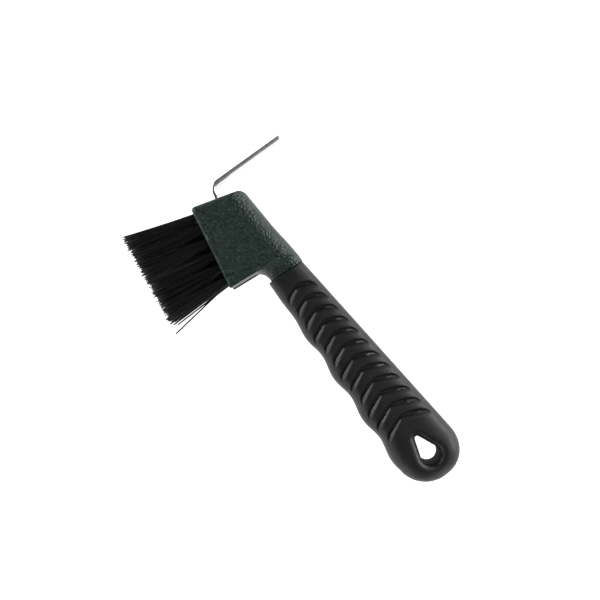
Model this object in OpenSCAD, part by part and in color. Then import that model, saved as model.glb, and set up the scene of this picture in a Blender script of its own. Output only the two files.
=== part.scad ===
// Hoof pick with a brush: a moulded head on a rubber-sleeved handle, a bent steel pick and 17 bristle tufts.
// The tool lies on its side. +X runs along the handle towards the head, +Y towards the brush side, and
// +Z up through the head's thickness. Lengths are millimetres and angles are degrees.
// Modules draw in handle coordinates: X = 0 at the grip's collar, Y = 0 on the handle's axis, Z = 0 at the
// surface that the tool rests on. in_part_frame() moves each node to the part's origin, the middle of its base.

/* [Head] */
// Thickness of the head between its two flat sides
head_t = 24; // [21:0.5:28]
// Distance from the collar to the top corner of the brush face
head_reach = 50.7; // [47:0.1:55]
// Height of that corner above the handle's axis
face_top_y = 16.2; // [14:0.1:19]
// Length of the brush face
face_len = 41.3; // [39:0.1:46]
// Lean of the brush face from the handle's axis
face_lean = 13; // [9:0.5:16]
// Lean of the top wall from square to the handle
top_lean = 18.8; // [15:0.1:24]
// Lean of the lower wall from square to the handle
lower_lean = 8; // [5:0.5:12]
// Radius of the round spine along the back
spine_r = 7.8; // [7:0.1:10]
// Radius of the large corner between the top wall and the back
crown_r = 3.5; // [2.5:0.5:7]
// Radius of the top corner of the brush face
face_top_r = 2; // [0.6:0.1:2]
// Radius of the lower corner of the brush face
face_low_r = 0.6; // [0.4:0.1:2]

/* [Neck and core] */
// Half the width of the rounded-square neck between the head and the grip
neck_r = 8.65; // [8:0.05:8.8]
// Radius of the neck's rounded corners
neck_corner_r = 6.2; // [5:0.1:7.5]
// Height of the neck's middle above the handle's axis
neck_y = 0.2; // [0:0.1:0.8]
// Radius of the concave flare where the neck meets the head
flare_r = 5.5; // [4:0.5:7]
// Lean of the collar's joint line from square to the handle, further forward on the brush side
collar_lean = 6; // [0:0.5:7]
// Radius of the handle core inside the grip
core_r = 6.5; // [5:0.1:7]
// Length of the core inside the grip, with its round end
core_len = 88; // [70:1:90]

/* [Pick] */
// Thickness of the steel strip
strip_t = 2; // [1.4:0.1:2.2]
// Width of the strip at the bend
strip_w = 14; // [11:0.5:16]
// Width of the tang inside the head
tang_w = 12; // [9:0.5:13]
// Length of the tang behind the top of the brush face
tang_len = 34; // [28:1:36]
// Depth of the strip's middle behind the brush face
tang_depth = 13; // [12.2:0.1:14]
// Length of the straight shank past the top of the brush face
shank_len = 2.1; // [0.5:0.1:4]
// Radius of the bend at the strip's middle
bend_r = 3.9; // [3:0.1:5]
// Angle that the strip turns through
bend_turn = 79.6; // [70:0.2:90]
// Length of the blade past the bend
blade_len = 37.4; // [30:0.2:44]
// Width of the blade at its tip
tip_w = 5; // [4:0.5:5.5]
// Radius of the arc that ends the blade
tip_arc_r = 3.2; // [3:0.1:5]
// Length of the bevel at the blade's tip
bevel_len = 1.5; // [1:0.5:5]
// Step that the blade's ground faces lie below the bend's
blade_step = 0.02; // [0.02:0.01:0.05]
// Radius of the anchor hole in the tang
anchor_hole_r = 2.5; // [1.5:0.5:3.5]

/* [Brush] */
// Tufts in each outer row along the brush face; the middle row has one fewer, half a pitch along
columns = 6; // [6]
// Distance between the three rows
row_pitch = 6.6; // [6:0.1:6.8]
// Distance between the tufts of a row
column_pitch = 6.5; // [6:0.1:6.8]
// Distance from the top corner of the face to the first tuft
first_tuft = 4.6; // [4:0.1:5.4]
// Radius of a tuft hole
tuft_hole_r = 2.1; // [1.7:0.1:2.4]
// Depth of a tuft hole
tuft_hole_depth = 10; // [8:0.5:10]
// Length of the bristles out of the face at the top of the brush
bristle_len = 33.6; // [28:0.1:40]
// How much shorter the bristles are at the lower end of the brush
bristle_fall = 1.6; // [0:0.1:4]
// Radius that a tuft spreads to at its tips
tuft_tip_r = 3.2; // [2.6:0.1:3.4]
// Outward lean of the first and last tuft of a row
column_fan = 5; // [3:0.5:7]
// Outward lean of the two outer rows
row_fan = 3; // [1:0.5:3.5]
// Thickness of an anchor staple
staple_t = 0.5; // [0.3:0.1:0.7]
// Height of an anchor staple
staple_h = 2; // [1.5:0.1:2.5]

/* [Grip] */
// Length of the grip from the collar to its round end
grip_len = 121.3; // [115:0.1:130]
// Half the thickness of the grip at the collar
collar_half_t = 9.3; // [9:0.1:10]
// Height of the grip's brush side above the axis at the collar
brush_side_y = 10.5; // [10:0.1:11.5]
// Rise of the brush side per millimetre of length
brush_side_rise = 0.0745; // [0.05:0.0005:0.09]
// Depth of the grip's back side below the axis at the collar
back_side_y = 8.4; // [8:0.1:9]
// Fall of the back side per millimetre of length
back_side_fall = 0.0435; // [0.03:0.0005:0.06]
// Height of the finger swells on the brush side
swell_h = 0.85; // [0:0.05:1.2]
// Distance between the finger swells
swell_pitch = 23.6; // [21:0.1:26]
// Distance from the collar to the first full swell
first_swell = 29.2; // [26:0.1:32]
// Distance that the middle of the round end lies further to the back side
bulb_shift = 0.7; // [0:0.1:1]
// Squareness of the grip's cross-section, where 2 is an ellipse
squareness = 3; // [2.2:0.1:3.2]

/* [Finger grooves] */
// Number of chevron grooves on each broad side
grooves = 12; // [6:12]
// Distance between the grooves
groove_pitch = 6.95; // [6.4:0.05:6.95]
// Distance from the collar to the point of the first groove, on its edge away from the head
first_groove = 10.1; // [9:0.1:12]
// Width of the first groove at its point
groove_w = 3.1; // [2.6:0.1:3.6]
// How much narrower the last groove is
groove_w_fall = 0.5; // [0:0.1:0.8]
// Depth of a groove
groove_depth = 1.1; // [0.6:0.1:1.5]
// Angle of a groove's arm on the brush side from square to the handle
brush_sweep = 23; // [15:1:30]
// Angle of a groove's arm on the back side from square to the handle
back_sweep = 28; // [15:1:30]
// Land left between a groove and the brush side
brush_margin = 2.4; // [2.2:0.1:4]
// Land left between a groove and the back side
back_margin = 2.3; // [2:0.1:5]

/* [Hanging hole] */
// Radius of the round end of the teardrop hole
hole_r = 4.65; // [4:0.05:5.5]
// Distance from the collar to the centre of that round end
hole_from_collar = 107.8; // [105:0.1:109]
// Length of the narrow end from that centre
hole_point = 10.9; // [9:0.1:13]
// Radius of the narrow end
hole_tip_r = 1.2; // [0.5:0.1:2]
// Height of the hole's centre above the handle's axis
hole_y = 2.7; // [2:0.1:4]

/* [Hidden] */
$fn = 48;
mid_z = head_t / 2;
back_y = neck_r - neck_y;
tufts = 3 * columns - 1;
// How far the head's cross-section runs past its outline
trim_margin = 1;

// Outline of the head: the corners in counter-clockwise order, seen from +Z
face_top = [head_reach, face_top_y];
face_low = face_top + face_len * [-cos(face_lean), sin(face_lean)];
crown = [head_reach - (face_top_y + back_y) * tan(top_lean), -back_y];
neck_top = neck_y + neck_r;
neck_foot = [face_low.x - (face_low.y - neck_top) * tan(lower_lean), neck_top];
spine_foot = [neck_foot.x, -back_y];

// Grip: the bulb's widest place, where the round end starts, and its half sizes there
bulb_half_w = (brush_side_y + back_side_y + (brush_side_rise + back_side_fall) * grip_len)
            / (2 + brush_side_rise + back_side_fall);
bulb_at = grip_len - bulb_half_w;
bulb_half_t = head_t / 2;
ring_step = 3;
ring_points = 48;
end_rings = 6;
groove_stations = 16;
point_rise = 0.6;
point_r = 0.35;
arch_share = 0.46;
arch_power = 1.75;
end_close = 0.2;
swell_fade = 40;

// Extents in handle coordinates, from the tufts' and the blade's ends
function tuft_tip(column) =
    let (lean = face_lean + column_lean(column), root = tuft_root(column))
    root + tuft_len(column) * [sin(lean), cos(lean)];
function disc_reach(lean) = tuft_tip_r * cos(lean);
x_max = tuft_tip(0).x + disc_reach(face_lean + column_fan);
y_max = tuft_tip(columns - 1).y + tuft_tip_r * abs(sin(face_lean - column_fan));
blade_angle = -face_lean - bend_turn;
bend_start = face_top + shank_len * [cos(face_lean), -sin(face_lean)]
           - tang_depth * [sin(face_lean), cos(face_lean)];
bend_centre = bend_start - bend_r * [sin(face_lean), cos(face_lean)];
bend_end = bend_centre + bend_r * [-sin(blade_angle), cos(blade_angle)];
y_min = bend_end.y + blade_len * sin(blade_angle);
origin = [(x_max - grip_len) / 2, (y_max + y_min) / 2, 0];

// ---- Shared geometry ----

function unit(v) = v / norm(v);
function smooth(t) = let (u = min(max(t, 0), 1)) u * u * (3 - 2 * u);

module in_part_frame() {
    translate(-origin) children();
}

// Polygon whose corners are rounded with true arcs, each to its own radius
module rounded_polygon(corners, radii) {
    count = len(corners);
    ways = [for (i = [0:count - 1]) [
        unit(corners[(i + count - 1) % count] - corners[i]),
        unit(corners[(i + 1) % count] - corners[i])
    ]];
    halves = [for (way = ways) acos(way[0] * way[1]) / 2];
    centres = [for (i = [0:count - 1])
        corners[i] + unit(ways[i][0] + ways[i][1]) * radii[i] / sin(halves[i])];
    tangents = [for (i = [0:count - 1]) each radii[i] == 0
        ? [corners[i]]
        : [for (way = ways[i]) corners[i] + way * radii[i] / tan(halves[i])]];
    union() {
        polygon(tangents);
        for (i = [0:count - 1]) {
            if (radii[i] > 0) {
                translate(centres[i]) circle(r = radii[i]);
            }
        }
    }
}

// Closed solid through a list of rings that all have the same number of points
module loft(rings) {
    around = len(rings[0]);
    last = (len(rings) - 1) * around;
    sides = [for (i = [0:len(rings) - 2]) for (j = [0:around - 1])
        let (a = i * around + j, b = i * around + (j + 1) % around)
        each [[a, b, b + around], [a, b + around, a + around]]];
    first_cap = [for (j = [around - 1:-1:0]) j];
    last_cap = [for (j = [0:around - 1]) last + j];
    polyhedron(points = [for (ring = rings) each ring], faces = concat([first_cap], sides, [last_cap]));
}

// A cylinder along the handle, from X = from to X = to
module bar(r, from, to) {
    translate([from, neck_y, mid_z]) rotate([0, 90, 0]) cylinder(r = r, h = to - from);
}

// Everything on the grip's side of the collar's leaning joint line
module grip_side() {
    size = 2 * grip_len;
    rotate([0, 0, -collar_lean]) translate([-size, -size / 2, -size / 2]) cube(size);
}

// Frame on the brush face: X runs up to the face's top corner at X = 0, and Y points out of the face
module on_face() {
    translate([face_top.x, face_top.y, mid_z]) rotate([0, 0, -face_lean]) children();
}

// ---- Tuft layout ----

function tuft_name(i) = str("tuft_", i < 10 ? "0" : "", i);
function tuft_row(i) = i <= columns ? -1 : i < 2 * columns ? 0 : 1;
function tuft_column(i) =
    let (row = tuft_row(i))
    row < 0 ? i - 1 : row > 0 ? i - 2 * columns : i - columns - 0.5;
function column_lean(column) = column_fan * (1 - 2 * column / (columns - 1));
function along_face(column) = first_tuft + column * column_pitch;
function tuft_len(column) = bristle_len - bristle_fall * column / (columns - 1);
function tuft_root(column) =
    face_top + along_face(column) * [-cos(face_lean), sin(face_lean)];

module at_tuft(i) {
    on_face() translate([-along_face(tuft_column(i)), 0, tuft_row(i) * row_pitch]) children();
}

// ---- Head ----

module head_outline() {
    rounded_polygon(
        [face_low, neck_foot, spine_foot, crown, face_top],
        [face_low_r, 0, 0, crown_r, face_top_r]
    );
}

// Cross-section of the head's block: flat sides and a round spine along the back
module spine_section() {
    front = face_low.y + trim_margin;
    rounded_polygon(
        [[-back_y, 0], [front, 0], [front, head_t], [-back_y, head_t]],
        [spine_r, 0, 0, spine_r]
    );
}

// Concave flare that carries the round neck into the block
module neck_flare() {
    outer_r = neck_r + flare_r;
    translate([neck_foot.x, neck_y, mid_z]) rotate([0, -90, 0]) rotate_extrude() difference() {
        translate([0, -1]) square([outer_r, flare_r + 1]);
        translate([outer_r, flare_r]) circle(r = flare_r);
    }
}

// The block and its flare, trimmed to one cross-section
module head_block() {
    intersection() {
        union() {
            linear_extrude(head_t) head_outline();
            neck_flare();
        }
        rotate([90, 0, 90]) linear_extrude(head_reach + trim_margin) spine_section();
    }
}

// Rounded-square bar for the neck, from X = from to X = to
module neck_bar(from, to) {
    translate([from, neck_y, mid_z]) rotate([90, 0, 90]) linear_extrude(to - from)
        rounded_polygon(
            neck_r * [[-1, -1], [1, -1], [1, 1], [-1, 1]],
            [for (i = [0:3]) neck_corner_r]
        );
}

module core() {
    bar(core_r, core_r - core_len, 2);
    translate([core_r - core_len, neck_y, mid_z]) sphere(r = core_r);
}

module tuft_hole(i) {
    at_tuft(i) rotate([90, 0, 0]) translate([0, 0, -1]) cylinder(r = tuft_hole_r, h = tuft_hole_depth + 1);
}

module head_solid() {
    head_block();
    difference() {
        neck_bar(-neck_r, neck_foot.x + 1);
        grip_side();
    }
    core();
}

module head_moulding() {
    color("#2a3d36") in_part_frame() difference() {
        head_solid();
        for (i = [1:tufts]) tuft_hole(i);
        pick_solid();
    }
}

// ---- Pick ----

// Extrudes a plan that lies along the strip (X) and across its width (Y)
module strip_plan(thickness) {
    rotate([90, 0, 0]) linear_extrude(thickness, center = true) children();
}

module tang() {
    strip_plan(strip_t) difference() {
        union() {
            translate([-tang_len, -tang_w / 2]) square([tang_len, tang_w]);
            translate([-shoulder_back(), -strip_w / 2]) square([shoulder_back() + shank_len, strip_w]);
        }
        translate([-tang_len + 2.5 * anchor_hole_r, 0]) circle(r = anchor_hole_r);
    }
}

// Length of the wide shank behind the top of the brush face: it reaches 3 mm into the head
function shoulder_back() = tang_depth * tan(top_lean - face_lean) + 3;

module bend() {
    inner = bend_r - strip_t / 2;
    outer = bend_r + strip_t / 2;
    reach = 2 * outer;
    translate([0, 0, -strip_w / 2]) linear_extrude(strip_w) intersection() {
        difference() {
            circle(r = outer);
            circle(r = inner);
        }
        polygon([[0, 0], [0, reach], [reach, reach], reach * [sin(bend_turn), cos(bend_turn)]]);
    }
}

// Blade outline: it starts a little way inside the bend, then a long taper ends in an arc
module blade_outline() {
    arc_start = blade_len - tip_arc_r;
    overlap = 0.3;
    taper_start = 1;
    difference() {
        polygon([
            [-overlap, -strip_w / 2],
            [taper_start, -strip_w / 2],
            [blade_len, -tip_w / 2],
            [blade_len, tip_w / 2],
            [taper_start, strip_w / 2],
            [-overlap, strip_w / 2]
        ]);
        difference() {
            translate([arc_start, -strip_w / 2]) square([2 * tip_arc_r, strip_w]);
            translate([arc_start, 0]) circle(r = tip_arc_r);
        }
    }
}

// The blade's faces are ground a step lower than the bend's. Its bevel leaves a quarter of the strip's
// thickness at the tip, on the side away from the head
module blade() {
    bevel = atan(0.75 * strip_t / bevel_len);
    difference() {
        strip_plan(strip_t - 2 * blade_step) blade_outline();
        translate([blade_len, strip_t / 4, 0]) rotate([0, 0, bevel])
            translate([-2 * bevel_len, -2 * strip_t, -strip_w / 2])
            cube([4 * bevel_len, 2 * strip_t, strip_w]);
    }
}

module pick_solid() {
    on_face() translate([0, -tang_depth, 0]) {
        tang();
        translate([shank_len, -bend_r, 0]) {
            bend();
            rotate([0, 0, -bend_turn]) translate([0, bend_r, 0]) blade();
        }
    }
}

module hoof_pick() {
    color("silver") in_part_frame() pick_solid();
}

// ---- Brush ----

// One tuft: straight inside its hole, then a cone that spreads and leans outwards
module tuft(i) {
    column = tuft_column(i);
    inside = 0.8;
    color("#141416") in_part_frame() difference() {
        at_tuft(i) union() {
            rotate([90, 0, 0]) cylinder(r = tuft_hole_r, h = tuft_hole_depth);
            rotate([row_fan * tuft_row(i), 0, -column_lean(column)]) translate([0, -inside, 0])
                rotate([-90, 0, 0])
                cylinder(r1 = tuft_hole_r - 0.1, r2 = tuft_tip_r, h = tuft_len(column) + inside);
        }
        staple(i);
    }
}

// The flat wire that the bristles fold round, near the bottom of the hole
module staple(i) {
    at_tuft(i) translate([-tuft_hole_r + 0.1, 1 - tuft_hole_depth, -staple_t / 2])
        cube([2 * tuft_hole_r - 0.2, staple_h, staple_t]);
}

module tuft_staples() {
    color("gainsboro") in_part_frame() for (i = [1:tufts]) staple(i);
}

// ---- Grip ----

// Sides, half width, middle and half thickness at a distance d from the collar
function swell(d) = swell_h * smooth(d / swell_fade) * cos(360 * (d - first_swell) / swell_pitch);
function brush_side(d) = brush_side_y + brush_side_rise * min(d, bulb_at) + swell(min(d, bulb_at));
function back_side(d) = back_side_y + back_side_fall * min(d, bulb_at);
function end_round(d) = d <= bulb_at ? 1 : sqrt(max(1 - pow((d - bulb_at) / (grip_len - bulb_at), 2), 0));
function half_w(d) = end_round(d) * (brush_side(d) + back_side(d)) / 2;
function centre_y(d) =
    (brush_side(d) - back_side(d)) / 2 - bulb_shift * pow(max(d - bulb_at, 0) / (grip_len - bulb_at), 2);
function half_t(d) =
    end_round(d) * (collar_half_t + (bulb_half_t - collar_half_t) * sin(90 * min(d / bulb_at, 1)));
function signed_pow(v, p) = sign(v) * pow(abs(v), p);

function grip_ring(d) = [for (j = [0:ring_points - 1])
    let (a = 360 * j / ring_points)
    [-d, centre_y(d) + half_w(d) * signed_pow(cos(a), 2 / squareness),
     mid_z + half_t(d) * signed_pow(sin(a), 2 / squareness)]];

// Height of the broad side above the grip's mid-plane
function crest(d, y) =
    let (u = min(abs(y - centre_y(d)) / half_w(d), 1)) half_t(d) * pow(1 - pow(u, squareness), 1 / squareness);

module grip_body() {
    start = -3;
    straight = ceil((bulb_at - start) / ring_step);
    distances = concat(
        [for (i = [0:straight - 1]) start + (bulb_at - start) * i / straight],
        [for (i = [0:end_rings]) bulb_at + (grip_len - bulb_at) * sin(86 * i / end_rings)]
    );
    loft([for (d = distances) grip_ring(d)]);
}

// One chevron groove on the upper broad side: a smooth arch on the head's side and a sharp point on the
// other, and a floor that follows the crowned surface
module groove_cutter(i) {
    point = first_groove + i * groove_pitch;
    centre = centre_y(point) + point_rise;
    width = groove_w - groove_w_fall * i / (grooves - 1);
    brush_end = brush_side(point) - brush_margin - centre;
    back_end = back_side(point) - back_margin + centre;
    loft([for (k = [0:groove_stations])
        let (
            t = 1 - 2 * k / groove_stations,
            reach = t > 0 ? brush_end : back_end,
            y = t * reach,
            arm = sqrt(y * y + point_r * point_r) - point_r,
            far = point + tan(t > 0 ? brush_sweep : back_sweep) * arm,
            arch = point - width + arch_share * reach * pow(abs(t), arch_power),
            near = arch + (far - arch) * end_close * pow(t, 6),
            floors = [for (d = [near, far]) mid_z + crest(d, centre + y) - groove_depth]
        )
        [[-near, centre + y, floors[0]], [-far, centre + y, floors[1]],
         [-far, centre + y, head_t + 1], [-near, centre + y, head_t + 1]]]);
}

module hanging_hole() {
    narrow = [hole_point - hole_tip_r, 0];
    touch = asin((hole_r - hole_tip_r) / narrow.x);
    upper = [sin(touch), cos(touch)];
    lower = [sin(touch), -cos(touch)];
    translate([-hole_from_collar, hole_y, -1]) linear_extrude(head_t + 2) union() {
        circle(r = hole_r);
        translate(narrow) circle(r = hole_tip_r);
        polygon([
            hole_r * lower,
            narrow + hole_tip_r * lower,
            narrow + hole_tip_r * upper,
            hole_r * upper
        ]);
    }
}

module rubber_grip() {
    color("#242426") in_part_frame() difference() {
        intersection() {
            grip_body();
            grip_side();
        }
        core();
        for (i = [0:grooves - 1]) {
            groove_cutter(i);
            translate([0, 0, head_t]) mirror([0, 0, 1]) groove_cutter(i);
        }
        hanging_hole();
    }
}

// ---- Nodes ----

head_moulding();
hoof_pick();
rubber_grip();
tuft_staples();
for (i = [1:tufts]) tuft(i);
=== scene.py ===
"""Hoof pick with a brush: its looks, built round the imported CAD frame.

Shapes are signed-distance fields in millimetres, in the handle's coordinates: x = 0 at the grip's collar
and +x towards the head, y = 0 on the handle's axis and +y towards the brush side, z = 0 at the resting
surface.
Meshes are moved to the row frame, in metres, when they are made.
"""

import math

import bpy
import numpy as np
from mathutils import Matrix, Vector


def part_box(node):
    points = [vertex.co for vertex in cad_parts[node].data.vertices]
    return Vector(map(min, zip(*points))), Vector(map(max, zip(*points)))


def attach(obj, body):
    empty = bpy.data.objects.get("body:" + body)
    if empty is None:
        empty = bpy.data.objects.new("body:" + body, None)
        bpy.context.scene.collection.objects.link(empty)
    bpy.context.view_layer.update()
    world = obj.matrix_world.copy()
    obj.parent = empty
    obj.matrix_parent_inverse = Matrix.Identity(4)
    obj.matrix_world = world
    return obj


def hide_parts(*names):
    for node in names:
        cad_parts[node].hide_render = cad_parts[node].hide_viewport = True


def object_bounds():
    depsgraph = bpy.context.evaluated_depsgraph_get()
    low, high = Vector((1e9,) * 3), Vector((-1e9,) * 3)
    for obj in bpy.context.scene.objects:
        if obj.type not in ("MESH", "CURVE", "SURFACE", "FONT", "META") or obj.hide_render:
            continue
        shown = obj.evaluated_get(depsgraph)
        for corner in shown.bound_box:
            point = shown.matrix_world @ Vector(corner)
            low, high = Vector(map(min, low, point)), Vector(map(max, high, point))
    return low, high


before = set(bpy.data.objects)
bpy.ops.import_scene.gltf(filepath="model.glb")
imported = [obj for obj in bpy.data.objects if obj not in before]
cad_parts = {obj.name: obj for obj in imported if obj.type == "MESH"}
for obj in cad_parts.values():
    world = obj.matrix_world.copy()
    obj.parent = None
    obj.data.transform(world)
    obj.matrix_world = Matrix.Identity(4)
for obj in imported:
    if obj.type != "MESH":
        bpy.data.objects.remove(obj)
cad_low, cad_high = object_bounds()

MM = 0.001

# ---- Dimensions ----
# They are the CAD source's, apart from these, which only the finished look has: the head's back line, crown
# radius and edge radii, the neck's size and middle, the lip, the grooves' walls and floors, the hanging hole's
# round rim and the small radii.

MID_Z = 12.0
HALF_T = 12.0
FACE_TOP = (50.7, 16.2)
FACE_LEN = 41.3
FACE_LEAN = math.radians(13)
TOP_LEAN = math.radians(18.8)
LOWER_LEAN = math.radians(8)
BACK_Y, BACK_SWELL, BACK_SWELL_START, BACK_SWELL_RUN = 8.1, 0.7, 22, 16
SPINE_R = 7.8
CROWN_R = 2.6
NECK_R = 8.8
NECK_Y = 0.05
NECK_FROM, NECK_TO = -9.0, 12.0
FLARE_R = 5.5
LIP_H, LIP_OUT, LIP_BLEND = 1.2, 0.65, 0.3
TOP_CORNER_R, LOWER_CORNER_R = 2.0, 0.6
TOP_EDGE_R, LOWER_EDGE_R, FACE_EDGE_R, NECK_EDGE_R = 1.9, 0.4, 1.4, 2.5
NECK_EDGE_START, NECK_EDGE_RUN = 13.5, 6
NECK_FOOT_R = 0.3
HOLE_RIM_R, HOLE_END_R, NECK_END_R = 0.35, 0.4, 0.35
COLLAR_GAP, PICK_GAP = 0.06, 0.05
COLLAR_LEAN = math.radians(6)
CORE_R = 6.5
CORE_LEN = 88.0

STRIP_T = 2.0
STRIP_W = 14.0
TANG_W = 12.0
TANG_LEN = 34.0
TANG_DEPTH = 13.0
SHANK_LEN = 2.1
BEND_R = 3.9
BEND_TURN = math.radians(79.6)
BLADE_LEN = 37.4
TIP_W = 5.0
TIP_ARC_R = 3.2
BEVEL_LEN = 1.5
OUTER_EDGE_R, INNER_EDGE_R, BEND_EDGE_R = 0.3, 0.8, 0.9
BEND_BLEND = 2.4
ANCHOR_R = 2.5

COLUMNS = 6
OUTER_COLUMNS = list(range(COLUMNS))
MIDDLE_COLUMNS = [c + 0.5 for c in range(COLUMNS - 1)]
ROWS = [(-1, OUTER_COLUMNS), (0, MIDDLE_COLUMNS), (1, OUTER_COLUMNS)]
TUFTS = [(row, column) for row, columns in ROWS for column in columns]
ROW_PITCH = 6.6
COLUMN_PITCH = 6.5
FIRST_TUFT = 4.6
HOLE_R = 2.1
HOLE_DEPTH = 10.0
BRISTLE_LEN = 33.6
BRISTLE_FALL = 1.6
COLUMN_FAN = 5.0
ROW_FAN = 3.0

GRIP_LEN = 121.3
COLLAR_HALF_T = 9.3
BRUSH_SIDE, BRUSH_RISE = 10.5, 0.0745
BACK_SIDE, BACK_FALL = 8.4, 0.0435
SWELL_H, SWELL_PITCH, FIRST_SWELL, SWELL_FADE = 0.85, 23.6, 29.2, 40
BULB_SHIFT = 0.7
SQUARENESS = 3.0
BULB_W = (BRUSH_SIDE + BACK_SIDE + (BRUSH_RISE + BACK_FALL) * GRIP_LEN) / (2 + BRUSH_RISE + BACK_FALL)
BULB_AT = GRIP_LEN - BULB_W

GROOVES = 12
GROOVE_PITCH = 6.95
FIRST_GROOVE = 10.1
GROOVE_W, GROOVE_W_FALL = 3.1, 0.5
GROOVE_DEPTH = 1.1
BRUSH_SWEEP = math.tan(math.radians(23))
BACK_SWEEP = math.tan(math.radians(28))
BRUSH_MARGIN = 2.4
BACK_MARGIN = 2.3
POINT_RISE = 0.6
POINT_R = 0.35
ARCH_SHARE, ARCH_POWER = 0.46, 1.75
END_CLOSE = 0.2
SCOOP = 3.4
NEAR_RUN, FAR_RUN = 0.75, 1.2
GROOVE_END_R, GROOVE_POINT_R, GROOVE_FLOOR_R, GROOVE_RIM_R = 1.2, 0.35, 0.25, 0.45
COLLAR_EDGE_R = 0.5
CORE_GAP = 0.04

EYELET_R = 4.65
EYELET_AT = 107.8
EYELET_POINT = 10.9
EYELET_TIP_R = 1.2
EYELET_Y = 2.7
EYELET_RIM_R = 4.0

# ---- From handle coordinates to the row frame ----

grip_low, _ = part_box("rubber_grip")
ORIGIN = np.array([
    cad_high.x / MM - GRIP_LEN,
    -(BACK_SIDE + BACK_FALL * BULB_AT) - grip_low.y / MM,
    -cad_low.z / MM,
])


def to_row(points):
    return (np.asarray(points, float) - ORIGIN) * MM


# ---- Field helpers ----


def smooth(t):
    u = np.clip(t, 0.0, 1.0)
    return u * u * (3 - 2 * u)


def round_max(a, b, r):
    """Both at once, with the edge between them rounded to radius r."""
    return np.minimum(np.maximum(a, b), -r) + np.hypot(np.maximum(a + r, 0), np.maximum(b + r, 0))


def round_min(a, b, r):
    """Either, with the corner between them filled to radius r."""
    return -round_max(-a, -b, r)


def face_frame(x, y):
    """Distance along the brush face from its top corner, and distance out of the face."""
    dx, dy = x - FACE_TOP[0], y - FACE_TOP[1]
    c, s = math.cos(FACE_LEAN), math.sin(FACE_LEAN)
    return -(dx * c - dy * s), dx * s + dy * c


# ---- Grip ----


def swell(d):
    return SWELL_H * smooth(d / SWELL_FADE) * np.cos(2 * np.pi * (d - FIRST_SWELL) / SWELL_PITCH)


def brush_side(d):
    e = np.minimum(d, BULB_AT)
    return BRUSH_SIDE + BRUSH_RISE * e + swell(e)


def back_side(d):
    return BACK_SIDE + BACK_FALL * np.minimum(d, BULB_AT)


def centre_y(d):
    past = np.maximum(d - BULB_AT, 0) / (GRIP_LEN - BULB_AT)
    return (brush_side(d) - back_side(d)) / 2 - BULB_SHIFT * past**2


def collar_plane(x, y):
    """Distance from the leaning joint line, positive on the head's side."""
    return x * math.cos(COLLAR_LEAN) - y * math.sin(COLLAR_LEAN)


def core_field(x, y, z):
    end = CORE_R - CORE_LEN
    run = x - np.clip(x, end, 2.0)
    across = np.hypot(y - NECK_Y, z - MID_Z)
    return np.hypot(run, across) - CORE_R


def grip_skin(x, y, z):
    """Distance from the grip's smooth outer surface."""
    d = -x
    wide = (brush_side(d) + back_side(d)) / 2
    thick = COLLAR_HALF_T + (HALF_T - COLLAR_HALF_T) * np.sin(np.pi / 2 * np.clip(d / BULB_AT, 0, 1))
    p = SQUARENESS
    u = np.abs(y - centre_y(d)) / wide
    v = np.abs(z - MID_Z) / thick
    u, v = np.maximum(u, 1e-4), np.maximum(v, 1e-4)
    ring = (u**p + v**p) ** (1 / p)
    t = np.maximum(d - BULB_AT, 0) / (GRIP_LEN - BULB_AT)
    rho = np.hypot(ring, t)
    slope_u = ring ** (1 - p) * u ** (p - 1) / wide
    slope_v = ring ** (1 - p) * v ** (p - 1) / thick
    slope_t = t / np.maximum(rho, 1e-4) / (GRIP_LEN - BULB_AT)
    steep = np.sqrt((ring / rho) ** 2 * (slope_u**2 + slope_v**2) + slope_t**2)
    return (rho - 1) / np.maximum(steep, 0.02)


def groove_plan(d, y):
    """Distances past the nearest finger groove's edges from above: head side, end side and arm's end."""
    rough = y - centre_y(d) - POINT_RISE
    sweep = np.where(rough > 0, BRUSH_SWEEP, BACK_SWEEP)
    bent = sweep * (np.sqrt(rough**2 + POINT_R**2) - POINT_R)
    index = np.clip(np.round((d - bent - FIRST_GROOVE + GROOVE_W / 2) / GROOVE_PITCH), 0, GROOVES - 1)
    point = FIRST_GROOVE + index * GROOVE_PITCH
    middle = centre_y(point) + POINT_RISE
    t = y - middle
    brush = t > 0
    brush_reach = brush_side(point) - BRUSH_MARGIN - middle
    back_reach = back_side(point) - BACK_MARGIN + middle
    reach = np.where(brush, brush_reach, back_reach)
    sweep = np.where(brush, BRUSH_SWEEP, BACK_SWEEP)
    share = np.abs(t) / reach
    width = GROOVE_W - GROOVE_W_FALL * index / (GROOVES - 1)
    far = point + sweep * (np.sqrt(t * t + POINT_R**2) - POINT_R)
    arch = point - width + ARCH_SHARE * reach * share**ARCH_POWER
    near = arch + (far - arch) * END_CLOSE * np.minimum(share, 1.1) ** 6
    past_near = (near - d) / np.hypot(1, ARCH_POWER * ARCH_SHARE * share ** (ARCH_POWER - 1))
    past_far = (d - far) / np.hypot(1, sweep)
    return past_near, past_far, (share - 1) * reach


def eyelet_field(x, y):
    """Distance outside the teardrop hanging hole, whose point is towards the head."""
    height = EYELET_POINT - EYELET_TIP_R
    px, py = np.abs(y - EYELET_Y), x + EYELET_AT
    b = (EYELET_R - EYELET_TIP_R) / height
    a = math.sqrt(1 - b * b)
    k = -b * px + a * py
    low = np.hypot(px, py) - EYELET_R
    high = np.hypot(px, py - height) - EYELET_TIP_R
    side = a * px + b * py - EYELET_R
    return np.where(k < 0, low, np.where(k > a * height, high, side))


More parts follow.
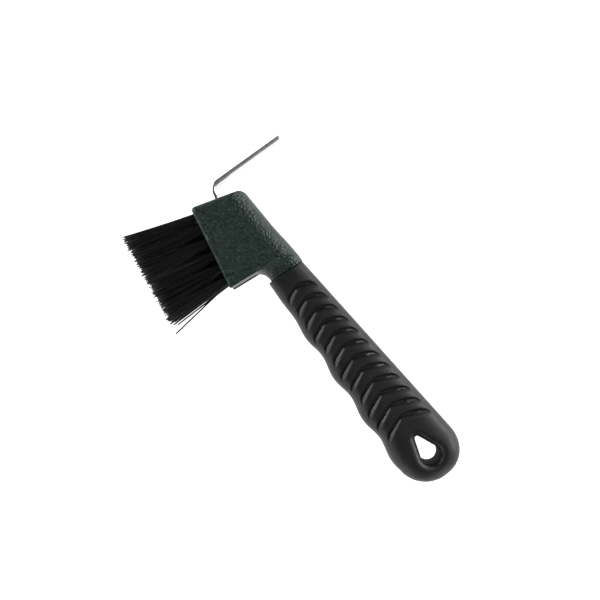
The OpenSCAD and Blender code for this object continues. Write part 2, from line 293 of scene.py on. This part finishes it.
def grip_field(x, y, z):
    skin = grip_skin(x, y, z)
    past_near, past_far, past_end = groove_plan(-x, y)
    scoop = np.clip(1 + past_end / SCOOP, 0, 1)
    depth = GROOVE_DEPTH * (1 - 0.8 * scoop**2)
    near_wall = (past_near - skin * NEAR_RUN / GROOVE_DEPTH) / math.hypot(1, NEAR_RUN / GROOVE_DEPTH)
    far_wall = (past_far - skin * FAR_RUN / GROOVE_DEPTH) / math.hypot(1, FAR_RUN / GROOVE_DEPTH)
    end_wall = (past_end - skin * NEAR_RUN / GROOVE_DEPTH) / math.hypot(1, NEAR_RUN / GROOVE_DEPTH)
    wall = round_max(round_max(near_wall, end_wall, GROOVE_END_R), far_wall, GROOVE_POINT_R)
    cavity = round_max(wall, -(skin + depth), GROOVE_FLOOR_R)
    body = round_max(skin, -cavity, GROOVE_RIM_R)
    body = round_max(body, collar_plane(x, y), COLLAR_EDGE_R)
    body = round_max(body, -eyelet_field(x, y), EYELET_RIM_R)
    return np.maximum(body, CORE_GAP - core_field(x, y, z))


def groove_share(x, y, z):
    """From 0 on the outer surface to 1 on a groove's floor."""
    inside = (-x > FIRST_GROOVE - 2 * GROOVE_W) & (-x < FIRST_GROOVE + GROOVES * GROOVE_PITCH)
    return np.where(inside, smooth(-grip_skin(x, y, z) / (0.8 * GROOVE_DEPTH) - 0.25), 0.0)


# ---- Pick ----


def strip_frame(x, y):
    """Length along the strip from the shank's start, and distance from its middle, positive outwards."""
    u, out = face_frame(x, y)
    a, b = -u - SHANK_LEN, out + TANG_DEPTH + BEND_R
    c, s = math.cos(BEND_TURN), math.sin(BEND_TURN)
    along_blade, off_blade = a * c - b * s, a * s + b * c - BEND_R
    radius = np.hypot(a, b)
    turn = np.clip(np.arctan2(a, b), 0, BEND_TURN)
    on_blade = (along_blade > 0) & ((a > 0) | (np.abs(off_blade) < np.abs(b - BEND_R)))
    on_shank = ~on_blade & (a < 0)
    run = np.where(on_blade, BEND_TURN * BEND_R + along_blade, np.where(on_shank, a, turn * BEND_R))
    off = np.where(on_blade, off_blade, np.where(on_shank, b - BEND_R, radius - BEND_R))
    return run + SHANK_LEN, off


BLADE_START = SHANK_LEN + BEND_TURN * BEND_R


def pick_field(x, y, z):
    run, off = strip_frame(x, y)
    across = np.abs(z - MID_Z)
    shoulder = TANG_DEPTH * math.tan(TOP_LEAN - FACE_LEAN) + 3
    taper = (STRIP_W - TIP_W) / 2 / (BLADE_LEN - 1)
    half = TANG_W / 2 + (STRIP_W - TANG_W) / 2 * smooth((run + shoulder) / 0.8)
    half = half - taper * np.maximum(run - BLADE_START - 1, 0)
    arc_at = BLADE_START + BLADE_LEN - TIP_ARC_R
    tip = np.where(run > arc_at, np.hypot(run - arc_at, across), run - arc_at) - TIP_ARC_R
    outline = np.maximum(np.maximum(across - half, tip), -TANG_LEN - run)
    bent = np.exp(-(((run - SHANK_LEN - BEND_TURN * BEND_R / 2) / BEND_BLEND) ** 2))
    edge_r = np.where(off < 0, INNER_EDGE_R, OUTER_EDGE_R)
    edge_r = edge_r + (BEND_EDGE_R - edge_r) * bent
    plate = round_max(np.abs(off) - STRIP_T / 2, outline, edge_r)
    slope = 0.75 * STRIP_T / BEVEL_LEN
    bevel = (STRIP_T / 4 - (BLADE_START + BLADE_LEN - run) * slope - off) / math.hypot(1, slope)
    plate = round_max(plate, bevel, 0.2)
    anchor = np.hypot(run + TANG_LEN - 2.5 * ANCHOR_R, across) - ANCHOR_R
    return np.maximum(plate, -anchor)


# ---- Head ----


def tuft_holes(along, out, z):
    """Distance outside the nearest tuft hole."""
    row = np.clip(np.round((z - MID_Z) / ROW_PITCH), -1, 1)
    half = np.where(row == 0, 0.5, 0.0)
    column = np.clip(np.round((along - FIRST_TUFT) / COLUMN_PITCH - half), 0, COLUMNS - 1 - 2 * half) + half
    away = np.hypot(along - FIRST_TUFT - column * COLUMN_PITCH, z - MID_Z - row * ROW_PITCH)
    return round_max(away - HOLE_R, -out - HOLE_DEPTH, HOLE_END_R)


def head_field(x, y, z):
    along, out = face_frame(x, y)
    side = np.abs(z - MID_Z) - HALF_T
    back = -y - BACK_Y - BACK_SWELL * smooth((BACK_SWELL_START - x) / BACK_SWELL_RUN)
    top = (x - FACE_TOP[0]) * math.cos(TOP_LEAN) - (y - FACE_TOP[1]) * math.sin(TOP_LEAN)
    low_x = FACE_TOP[0] - FACE_LEN * math.cos(FACE_LEAN)
    low_y = FACE_TOP[1] + FACE_LEN * math.sin(FACE_LEAN)
    lower = -(x - low_x) * math.cos(LOWER_LEAN) + (y - low_y) * math.sin(LOWER_LEAN)
    spine = round_max(side, back, SPINE_R)
    lower = lower - LIP_OUT * smooth((LIP_H - z) / LIP_BLEND + 1)
    corner_r = np.where(top > lower, TOP_CORNER_R, LOWER_CORNER_R)
    plan = round_max(round_max(round_max(back, top, CROWN_R), lower, NECK_FOOT_R), out, corner_r)
    lower_r = LOWER_EDGE_R + (NECK_EDGE_R - LOWER_EDGE_R) * smooth((NECK_EDGE_START - y) / NECK_EDGE_RUN)
    walls = [(back, SPINE_R), (top, TOP_EDGE_R), (lower, lower_r), (out, FACE_EDGE_R)]
    near = [np.maximum(wall + SPINE_R, 0) ** 4 for wall, _ in walls]
    edge_r = sum(n * r for n, (_, r) in zip(near, walls)) / np.maximum(sum(near), 1e-6)
    block = round_max(side, plan, np.maximum(edge_r, LOWER_EDGE_R))
    across = np.cbrt(np.abs(y - NECK_Y) ** 3 + np.abs(z - MID_Z) ** 3)
    past_neck = np.abs(x - (NECK_FROM + NECK_TO) / 2) - (NECK_TO - NECK_FROM) / 2
    neck = np.maximum(across - NECK_R, past_neck)
    solid = round_min(block, neck, FLARE_R)
    solid = np.maximum(solid, np.minimum(spine, neck))
    solid = round_max(solid, COLLAR_GAP - collar_plane(x, y), NECK_END_R)
    solid = np.minimum(solid, core_field(x, y, z))
    solid = round_max(solid, -tuft_holes(along, out, z), HOLE_RIM_R)
    return np.maximum(solid, PICK_GAP - pick_field(x, y, z))


# ---- Meshing ----


# Half the span of a finite difference, in millimetres
DIFFERENCE_STEP = 0.03
# Grid layers worked out at a time
SLAB = 24
# Steps that bring each point onto the surface, and how far they may move it, in cells
NEWTON_STEPS = 3
LARGEST_SHIFT = 0.6
LEAST_SLOPE = 0.2


def gradient(field, p, h=DIFFERENCE_STEP):
    g = np.empty_like(p)
    for i in range(3):
        step = np.zeros(3)
        step[i] = h
        up, down = p + step, p - step
        g[:, i] = (field(*up.T) - field(*down.T)) / (2 * h)
    return g


def surface_net(field, low, high, cell):
    """Quads over the field's zero surface: one point in each grid cell that the surface crosses."""
    low = np.array(low, float)
    counts = np.ceil((np.array(high, float) - low) / cell).astype(int) + 1
    axes = [low[i] + cell * np.arange(counts[i]) for i in range(3)]
    values = np.empty(counts)
    for i in range(0, counts[0], SLAB):
        x, y, z = np.meshgrid(axes[0][i:i + SLAB], axes[1], axes[2], indexing="ij")
        values[i:i + SLAB] = field(x, y, z)
    inside = values < 0
    shape = counts - 1
    corners = [np.array([i, j, k]) for i in (0, 1) for j in (0, 1) for k in (0, 1)]
    total = np.zeros(shape, np.int8)
    for c in corners:
        total += inside[c[0]:c[0] + shape[0], c[1]:c[1] + shape[1], c[2]:c[2] + shape[2]]
    active = (total > 0) & (total < 8)
    cells = np.argwhere(active)
    number = np.full(shape, -1, np.int64)
    number[active] = np.arange(len(cells))
    at = [values[tuple((cells + c).T)] for c in corners]
    summed, crossings = np.zeros((len(cells), 3)), np.zeros(len(cells))
    for a, ca in enumerate(corners):
        for b, cb in enumerate(corners):
            if b > a and np.abs(ca - cb).sum() == 1:
                crossed = (at[a] < 0) != (at[b] < 0)
                t = np.where(crossed, at[a] / np.where(crossed, at[a] - at[b], 1), 0)
                summed += crossed[:, None] * (ca + t[:, None] * (cb - ca))
                crossings += crossed
    points = low + (cells + summed / crossings[:, None]) * cell
    start = points.copy()
    for _ in range(NEWTON_STEPS):
        g = gradient(field, points)
        points -= (field(*points.T) / np.maximum((g * g).sum(1), LEAST_SLOPE))[:, None] * g
        points = start + np.clip(points - start, -LARGEST_SHIFT * cell, LARGEST_SHIFT * cell)
    quads = []
    for a in range(3):
        b, c = (a + 1) % 3, (a + 2) % 3
        first, second = np.moveaxis(inside, a, 0)[:-1], np.moveaxis(inside, a, 0)[1:]
        g = np.argwhere(np.moveaxis(first != second, 0, a))
        g = g[(g[:, b] > 0) & (g[:, c] > 0) & (g[:, b] < shape[b]) & (g[:, c] < shape[c])]
        step_b, step_c = np.eye(3, dtype=int)[b], np.eye(3, dtype=int)[c]
        ring = [number[tuple((g - o).T)] for o in (step_b + step_c, step_c, 0 * step_b, step_b)]
        ring = np.stack(ring, 1)
        outward = inside[tuple(g.T)]
        quads.append(np.where(outward[:, None], ring, ring[:, ::-1]))
    return points, np.concatenate(quads)


def add_mesh(name, points, faces, normals=None):
    mesh = bpy.data.meshes.new(name)
    mesh.from_pydata(to_row(points).tolist(), [], faces.tolist() if hasattr(faces, "tolist") else faces)
    mesh.polygons.foreach_set("use_smooth", [True] * len(mesh.polygons))
    if normals is not None:
        mesh.normals_split_custom_set_from_vertices(normals.tolist())
    mesh.update()
    obj = bpy.data.objects.new(name, mesh)
    bpy.context.scene.collection.objects.link(obj)
    return obj


def add_piece(obj, material, slot, *nodes):
    obj.data.materials.append(material)
    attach(obj, "root")
    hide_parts(*nodes)


def field_piece(name, field, low, high, cell, recess=None):
    points, quads = surface_net(field, low, high, cell)
    g = gradient(field, points)
    normals = g / np.maximum(np.linalg.norm(g, axis=1), 1e-9)[:, None]
    obj = add_mesh(name, points, quads, normals)
    if recess:
        attribute = obj.data.attributes.new("recess", "FLOAT", "POINT")
        attribute.data.foreach_set("value", recess(*points.T))
    return obj


# ---- Materials ----


class Nodes:
    """A material's node tree, with short calls to add and link nodes."""

    def __init__(self, name):
        self.material = bpy.data.materials.new(name)
        self.material.use_nodes = True
        self.tree = self.material.node_tree
        self.shader = self.tree.nodes["Principled BSDF"]
        self.coords = self.tree.nodes.new("ShaderNodeTexCoord").outputs["Object"]

    def add(self, kind, inputs=(), **settings):
        node = self.tree.nodes.new(kind)
        for key, value in settings.items():
            setattr(node, key, value)
        for key, value in dict(inputs).items():
            if isinstance(value, bpy.types.NodeSocket):
                self.tree.links.new(value, node.inputs[key])
            else:
                node.inputs[key].default_value = value
        return node

    def stretched(self, scale):
        return self.add("ShaderNodeMapping", {"Vector": self.coords, "Scale": scale}).outputs["Vector"]

    def noise(self, scale, detail=2.0, vector=None, roughness=0.5):
        inputs = {"Vector": vector or self.coords, "Scale": scale, "Detail": detail, "Roughness": roughness}
        return self.add("ShaderNodeTexNoise", inputs).outputs["Fac"]

    def pebbles(self, scale):
        inputs = {"Vector": self.coords, "Scale": scale, "Smoothness": 0.6}
        return self.add("ShaderNodeTexVoronoi", inputs, feature="SMOOTH_F1").outputs["Distance"]

    def ramp(self, fac, stops):
        node = self.add("ShaderNodeValToRGB", {"Fac": fac})
        elements = node.color_ramp.elements
        while len(elements) < len(stops):
            elements.new(0.5)
        for element, (position, colour) in zip(elements, stops):
            element.position = position
            element.color = (*colour, 1) if len(colour) == 3 else colour
        return node.outputs["Color"]

    def remap(self, fac, low, high, to_low, to_high):
        values = {"Value": fac, "From Min": low, "From Max": high, "To Min": to_low, "To Max": to_high}
        return self.add("ShaderNodeMapRange", values).outputs["Result"]

    def maths(self, operation, a, b):
        node = self.add("ShaderNodeMath", {0: a, 1: b}, operation=operation)
        return node.outputs["Value"]

    def mix(self, fac, a, b):
        node = self.add("ShaderNodeMix", data_type="RGBA")
        for socket, value in zip((node.inputs[0], node.inputs[6], node.inputs[7]), (fac, a, b)):
            if isinstance(value, bpy.types.NodeSocket):
                self.tree.links.new(value, socket)
            else:
                socket.default_value = value
        return node.outputs[2]

    def bump(self, height, strength, distance, normal=None):
        inputs = {"Height": height, "Strength": strength, "Distance": distance}
        if normal:
            inputs["Normal"] = normal
        return self.add("ShaderNodeBump", inputs).outputs["Normal"]

    def finish(self, links, **values):
        for key, value in values.items():
            self.shader.inputs[key.replace("_", " ")].default_value = value
        for key, socket in links.items():
            self.tree.links.new(socket, self.shader.inputs[key])
        return self.material


def head_plastic():
    m = Nodes("head_plastic")
    pebbles = m.pebbles(950)
    grit = m.noise(2400, 2)
    height = m.maths("ADD", m.maths("MULTIPLY", pebbles, -1.0), m.maths("MULTIPLY", grit, 0.45))
    cloud = m.noise(90, 3)
    colour = m.ramp(cloud, [(0.3, (0.0012, 0.0165, 0.0085)), (0.7, (0.0028, 0.0235, 0.0135))])
    speck = m.remap(m.noise(760, 3, roughness=0.7), 0.48, 0.66, 0, 1)
    colour = m.mix(m.maths("MULTIPLY", speck, 0.7), colour, (0.017, 0.045, 0.032, 1))
    # Painted shade: the colour is darkened towards the low parts of the pebbled grain, between the pebbles
    painted_valley_shade = m.remap(pebbles, 0.3, 0.6, 0, 0.65)
    colour = m.mix(painted_valley_shade, colour, (0.0004, 0.003, 0.0018, 1))
    rough = m.remap(m.noise(1400, 2), 0.3, 0.7, 0.3, 0.5)
    return m.finish({
        "Base Color": colour,
        "Roughness": rough,
        "Normal": m.bump(height, 1.0, 0.00042),
    }, Specular_IOR_Level=0.42)


def grip_rubber():
    m = Nodes("grip_rubber")
    cloud = m.noise(140, 4, roughness=0.6)
    colour = m.ramp(cloud, [(0.3, (0.006, 0.006, 0.0063)), (0.7, (0.0102, 0.0102, 0.0108))])
    recess = m.add("ShaderNodeAttribute", attribute_name="recess").outputs["Fac"]
    rough = m.remap(m.noise(260, 4, roughness=0.65), 0.3, 0.7, 0.4, 0.56)
    rough = m.maths("SUBTRACT", rough, m.maths("MULTIPLY", recess, 0.22))
    grain = m.bump(m.noise(3600, 2), 0.3, 0.00005)
    wavy = m.bump(m.noise(420, 2), 0.12, 0.00012, grain)
    return m.finish({"Base Color": colour, "Roughness": rough, "Normal": wavy}, Specular_IOR_Level=0.32)


def grip_bore_painted_shade():
    """The grip's rubber inside the hanging hole: duller than its outside, with a darker base colour that is
    painted shade in the hole.
    """
    m = Nodes("grip_bore_painted_shade")
    # Painted shade: this base colour is darker than the outside rubber's
    colour = m.ramp(m.noise(500, 3), [(0.3, (0.004, 0.004, 0.0043)), (0.7, (0.008, 0.008, 0.0084))])
    rough = m.remap(m.noise(900, 2), 0.3, 0.7, 0.8, 0.95)
    return m.finish({
        "Base Color": colour,
        "Roughness": rough,
        "Normal": m.bump(m.noise(1800, 2), 0.5, 0.0001),
    }, Specular_IOR_Level=0.3)


def pick_steel(name="pick_steel"):
    m = Nodes(name)
    lines = m.noise(1.0, 3, m.stretched((60, 60, 7000)), 0.6)
    patches = m.noise(160, 3)
    colour = m.ramp(patches, [(0.3, (0.5, 0.5, 0.49)), (0.7, (0.6, 0.6, 0.59))])
    rough = m.remap(lines, 0.3, 0.7, 0.26, 0.34)
    return m.finish({
        "Base Color": colour,
        "Roughness": rough,
        "Normal": m.bump(lines, 0.15, 0.00002),
    }, Metallic=1.0)


def bristle_nylon():
    m = Nodes("bristle_nylon")
    shade = m.add("ShaderNodeAttribute", attribute_name="shade").outputs["Fac"]
    stops = [(0.0, (0.002, 0.002, 0.0022)), (0.75, (0.0045, 0.0043, 0.005)), (1.0, (0.018, 0.0175, 0.0185))]
    rough = m.remap(m.noise(500, 2), 0.3, 0.7, 0.34, 0.5)
    return m.finish({"Base Color": m.ramp(shade, stops), "Roughness": rough}, Specular_IOR_Level=0.36)


def floor_material():
    m = Nodes("floor")
    tone = m.ramp(m.noise(3, 2), [(0.3, (0.3, 0.3, 0.3)), (0.7, (0.33, 0.33, 0.33))])
    return m.finish({"Base Color": tone}, Roughness=0.9, Emission_Color=(1, 1, 1, 1), Emission_Strength=1.2)


# ---- Pieces ----

CELL_GRIP = 0.45
CELL_HEAD = 0.42
CELL_PICK = 0.25

grip = field_piece("grip_sleeve", grip_field, (-123, -15, -1), (3, 21, 25), CELL_GRIP, groove_share)
add_piece(grip, grip_rubber(), "grip_rubber", "rubber_grip")
grip.data.materials.append(grip_bore_painted_shade())
# The hole's steep inner faces take the second material: duller rubber, whose darker colour is painted shade in
# the hole
BORE_REACH = 9.5 * MM
STEEP_NORMAL = 0.6
bore_middle = Vector(to_row((-EYELET_AT + 2, EYELET_Y, MID_Z)))
for polygon in grip.data.polygons:
    if (polygon.center - bore_middle).xy.length < BORE_REACH and abs(polygon.normal.z) < STEEP_NORMAL:
        polygon.material_index = 1

head = field_piece("head_casting", head_field, (-83, -10, -1), (53, 28, 25), CELL_HEAD)
add_piece(head, head_plastic(), "head_plastic", "head_moulding")

pick = field_piece("pick_strip", pick_field, (15, -41, 3), (56, 14, 21), CELL_PICK)
add_piece(pick, pick_steel(), "pick_steel", "hoof_pick")

# Each bristle is its own tube, narrower at its tip: straight in its hole, then spreading, to an uneven length
SIDES = 6
RINGS = 8
BRISTLES = 72
GOLDEN_ANGLE = 2.399963
BRISTLE_R, LOOSE_R = 0.2, 0.38
TIP_SPREAD = 6.0
ROOT_SPLAY, SPLAY_RUN = 0.35, 1.5
EASE_RUN = 0.6
ROOT_DEPTH = 6.9
SIDE_GAP = 0.25
# Random spreads of a bristle's slopes, bend and length, with their limits, and the share of odd ones
SLOPE_SPREAD, SLOPE_LIMIT, CROSS_SPREAD = 0.03, 0.055, 0.014
BEND_SPREAD, BEND_LIMIT = 0.0004, 0.0008
LEN_SPREAD, LEN_LOW, LEN_HIGH = 0.5, -1.3, 1.2
WILD_SHARE, WILD_GAIN = 0.1, 1.6
ODD_SHARE, ODD_LOW, ODD_HIGH = 0.06, -2.5, 1.2
# Steepest outward slope of the brush's top and lower sides, from its end tufts
TOP_LEAN_OUT, LOW_LEAN_OUT = math.tan(math.radians(7.2)), math.tan(math.radians(5.6))
# Stray bristles of a tuft: slope along the face, slope across it, and share of the full length
LOOSE = {
    5: [(-0.2, 0.03, 0.97), (-0.13, 0.01, 1.0)],
    10: [(-0.165, -0.02, 1.0)],
    16: [(-0.317, 0.04, 1.0), (-0.185, 0.03, 0.98), (-0.15, 0.02, 1.01), (-0.115, 0.0, 0.96)],
}
rng = np.random.default_rng(7)


def bristle(points, radius):
    """Rings round a path in the tuft's frame: (rings x sides) points."""
    angles = 2 * np.pi * np.arange(SIDES) / SIDES
    ring = np.stack([np.cos(angles), 0 * angles, np.sin(angles)], 1)
    return (points[:, None, :] + radius[:, None, None] * ring[None]).reshape(-1, 3)


def tuft_mesh(name, row, column, loose):
    lean_a = math.tan(math.radians(COLUMN_FAN * (1 - 2 * column / (COLUMNS - 1))))
    lean_z = math.tan(math.radians(ROW_FAN * row))
    length = BRISTLE_LEN - BRISTLE_FALL * column / (COLUMNS - 1)
    spread = (TIP_SPREAD - HOLE_R) / length
    splay = ROOT_SPLAY if 0 < column < COLUMNS - 1 else 0
    room = HALF_T - SIDE_GAP - row * ROW_PITCH, HALF_T - SIDE_GAP + row * ROW_PITCH
    verts, faces, shades = [], [], []
    c, s = math.cos(FACE_LEAN), math.sin(FACE_LEAN)
    for k in range(BRISTLES + len(loose)):
        rho = (HOLE_R - BRISTLE_R - 0.02) * math.sqrt(min(k + 0.5, BRISTLES) / BRISTLES)
        phi = k * GOLDEN_ANGLE + rng.normal(0, 0.15)
        a, b = rho * math.cos(phi), rho * math.sin(phi)
        wild = 1 + WILD_GAIN * (rng.random() < WILD_SHARE)
        noise = np.clip(rng.normal(0, SLOPE_SPREAD), -SLOPE_LIMIT, SLOPE_LIMIT)
        slope_a = lean_a + spread * a / HOLE_R + noise * wild
        slope_b = lean_z + spread * b / HOLE_R + rng.normal(0, CROSS_SPREAD)
        bend_a, bend_b = np.clip(rng.normal(0, BEND_SPREAD, 2), -BEND_LIMIT, BEND_LIMIT)
        reach = length + np.clip(rng.normal(0, LEN_SPREAD), LEN_LOW, LEN_HIGH)
        reach += (rng.random() < ODD_SHARE) * rng.uniform(ODD_LOW, ODD_HIGH)
        shade = rng.random()
        ahead = FIRST_TUFT + column * COLUMN_PITCH - a
        highest = (ahead - FIRST_TUFT + HOLE_R) / reach + TOP_LEAN_OUT
        lowest = (ahead - FIRST_TUFT - (COLUMNS - 1) * COLUMN_PITCH - HOLE_R) / reach - LOW_LEAN_OUT
        slope_a = min(max(slope_a, lowest), highest)
        if k >= BRISTLES:
            slope_a, slope_b, share = loose[k - BRISTLES]
            a, bend_a, reach, shade = -0.9 * HOLE_R, 0, length * share, 0
        slope_b = min(max(slope_b, (-room[1] - b) / reach), (room[0] - b) / reach)
        rows_out = np.linspace(0, 1, RINGS - 3) ** 0.8 * (reach - 0.15)
        h = np.concatenate([[-ROOT_DEPTH, -1.0], rows_out, [reach]])
        out = np.maximum(h, 0)
        ease = out * out / (out + EASE_RUN)
        path = np.stack([
            a * (1 + splay * (1 - np.exp(-out / SPLAY_RUN))) + slope_a * ease + bend_a * out * out,
            h,
            b + slope_b * ease + bend_b * out * (reach - out),
        ], 1)
        radius = np.full(len(h), BRISTLE_R if k < BRISTLES else LOOSE_R)
        radius[-1] *= 0.5
        rings = bristle(path, radius)
        base = len(verts) * SIDES * RINGS
        verts.append(rings)
        shades += [shade] * len(rings)
        for i in range(RINGS - 1):
            for j in range(SIDES):
                n = (j + 1) % SIDES
                lo, hi = base + i * SIDES, base + (i + 1) * SIDES
                faces.append((lo + j, hi + j, hi + n, lo + n))
        faces.append(tuple(base + j for j in range(SIDES)))
        faces.append(tuple(base + (RINGS - 1) * SIDES + j for j in reversed(range(SIDES))))
    local = np.concatenate(verts)
    along = FIRST_TUFT + column * COLUMN_PITCH
    root = np.array([FACE_TOP[0] - along * c, FACE_TOP[1] + along * s, MID_Z + row * ROW_PITCH])
    x = local[:, 0] * c + local[:, 1] * s
    y = -local[:, 0] * s + local[:, 1] * c
    points = root + np.stack([x, y, local[:, 2]], 1)
    obj = add_mesh(name, points, faces)
    attribute = obj.data.attributes.new("shade", "FLOAT", "POINT")
    attribute.data.foreach_set("value", shades)
    return obj


nylon = bristle_nylon()
for i, (row, column) in enumerate(TUFTS):
    tuft = tuft_mesh(f"bristles_{i + 1:02d}", row, column, LOOSE.get(i, []))
    add_piece(tuft, nylon, "bristle_nylon", f"tuft_{i + 1:02d}")

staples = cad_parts["tuft_staples"]
staples.data.materials.clear()
staples.data.materials.append(pick_steel("staple_wire"))

# ---- Studio ----

scene = bpy.context.scene
floor_mesh = bpy.data.meshes.new("floor")
FLOOR_HALF = 3.0
floor_corners = [(FLOOR_HALF * i, FLOOR_HALF * j, 0) for i, j in ((-1, -1), (1, -1), (1, 1), (-1, 1))]
floor_mesh.from_pydata(floor_corners, [], [(0, 1, 2, 3)])
floor = bpy.data.objects.new("floor", floor_mesh)
FLOOR_GAP = 0.0002
floor.location.z = cad_low.z - FLOOR_GAP
floor_mesh.materials.append(floor_material())
scene.collection.objects.link(floor)

world = bpy.data.worlds.new("studio")
scene.world = world
world.use_nodes = True
tree = world.node_tree
background = tree.nodes["Background"]
coords = tree.nodes.new("ShaderNodeTexCoord")
split = tree.nodes.new("ShaderNodeSeparateXYZ")
ramp = tree.nodes.new("ShaderNodeValToRGB")
tree.links.new(coords.outputs["Generated"], split.inputs[0])
tree.links.new(split.outputs["Z"], ramp.inputs["Fac"])
tree.links.new(ramp.outputs["Color"], background.inputs["Color"])
stops = [(0.0, 0.95), (0.2, 0.5), (0.5, 0.11), (1.0, 0.075)]
elements = ramp.color_ramp.elements
while len(elements) < len(stops):
    elements.new(0.5)
for element, (position, level) in zip(elements, stops):
    element.position = position
    element.color = (level, level, level, 1)

handle_centre = Vector(to_row((-20, 4, MID_Z)))
# The picture's right and up, in the row frame
RIGHT = Vector((-0.635, -0.773, 0)).normalized()
UP = Vector((0.773, -0.635, 0)).normalized()


def softbox(name, across, upward, height, width, depth, power):
    """A rectangular area light, placed by the picture's right and up, in metres from the object."""
    light = bpy.data.lights.new(name, "AREA")
    light.shape = "RECTANGLE"
    light.size, light.size_y, light.energy = width, depth, power
    obj = bpy.data.objects.new(name, light)
    obj.location = handle_centre + RIGHT * across + UP * upward + Vector((0, 0, height))
    obj.rotation_mode = "QUATERNION"
    obj.rotation_quaternion = (handle_centre - obj.location).to_track_quat("-Z", "Y")
    scene.collection.objects.link(obj)


softbox("left_box", -0.75, 0.15, 0.22, 0.7, 0.25, 6)
softbox("low_box", -0.45, -0.7, 0.2, 0.7, 0.3, 1.6)
softbox("right_box", 0.8, 0.2, 0.2, 1.0, 0.35, 10.5)
softbox("window", 0.36, 0.3, 0.6, 0.12, 0.12, 0.9)
softbox("low_window", 0.16, -0.2, 0.6, 0.35, 0.35, 0.25)

camera = bpy.data.objects.new("camera", bpy.data.cameras.new("camera"))
scene.collection.objects.link(camera)
scene.camera = camera
camera.data.sensor_width = 36
camera.data.lens = 57.24
camera.data.clip_start = 0.01
# The camera looks straight down from this height above the tool's middle plane
CAMERA_HEIGHT = 450
VIEW_CENTRE = (-14.13, 3.98)
place = to_row((*VIEW_CENTRE, MID_Z + CAMERA_HEIGHT))
camera.matrix_world = Matrix((
    (RIGHT.x, UP.x, 0, place[0]),
    (RIGHT.y, UP.y, 0, place[1]),
    (0, 0, 1, place[2]),
    (0, 0, 0, 1),
))

scene.view_settings.view_transform = "Standard"
scene.view_settings.look = "None"
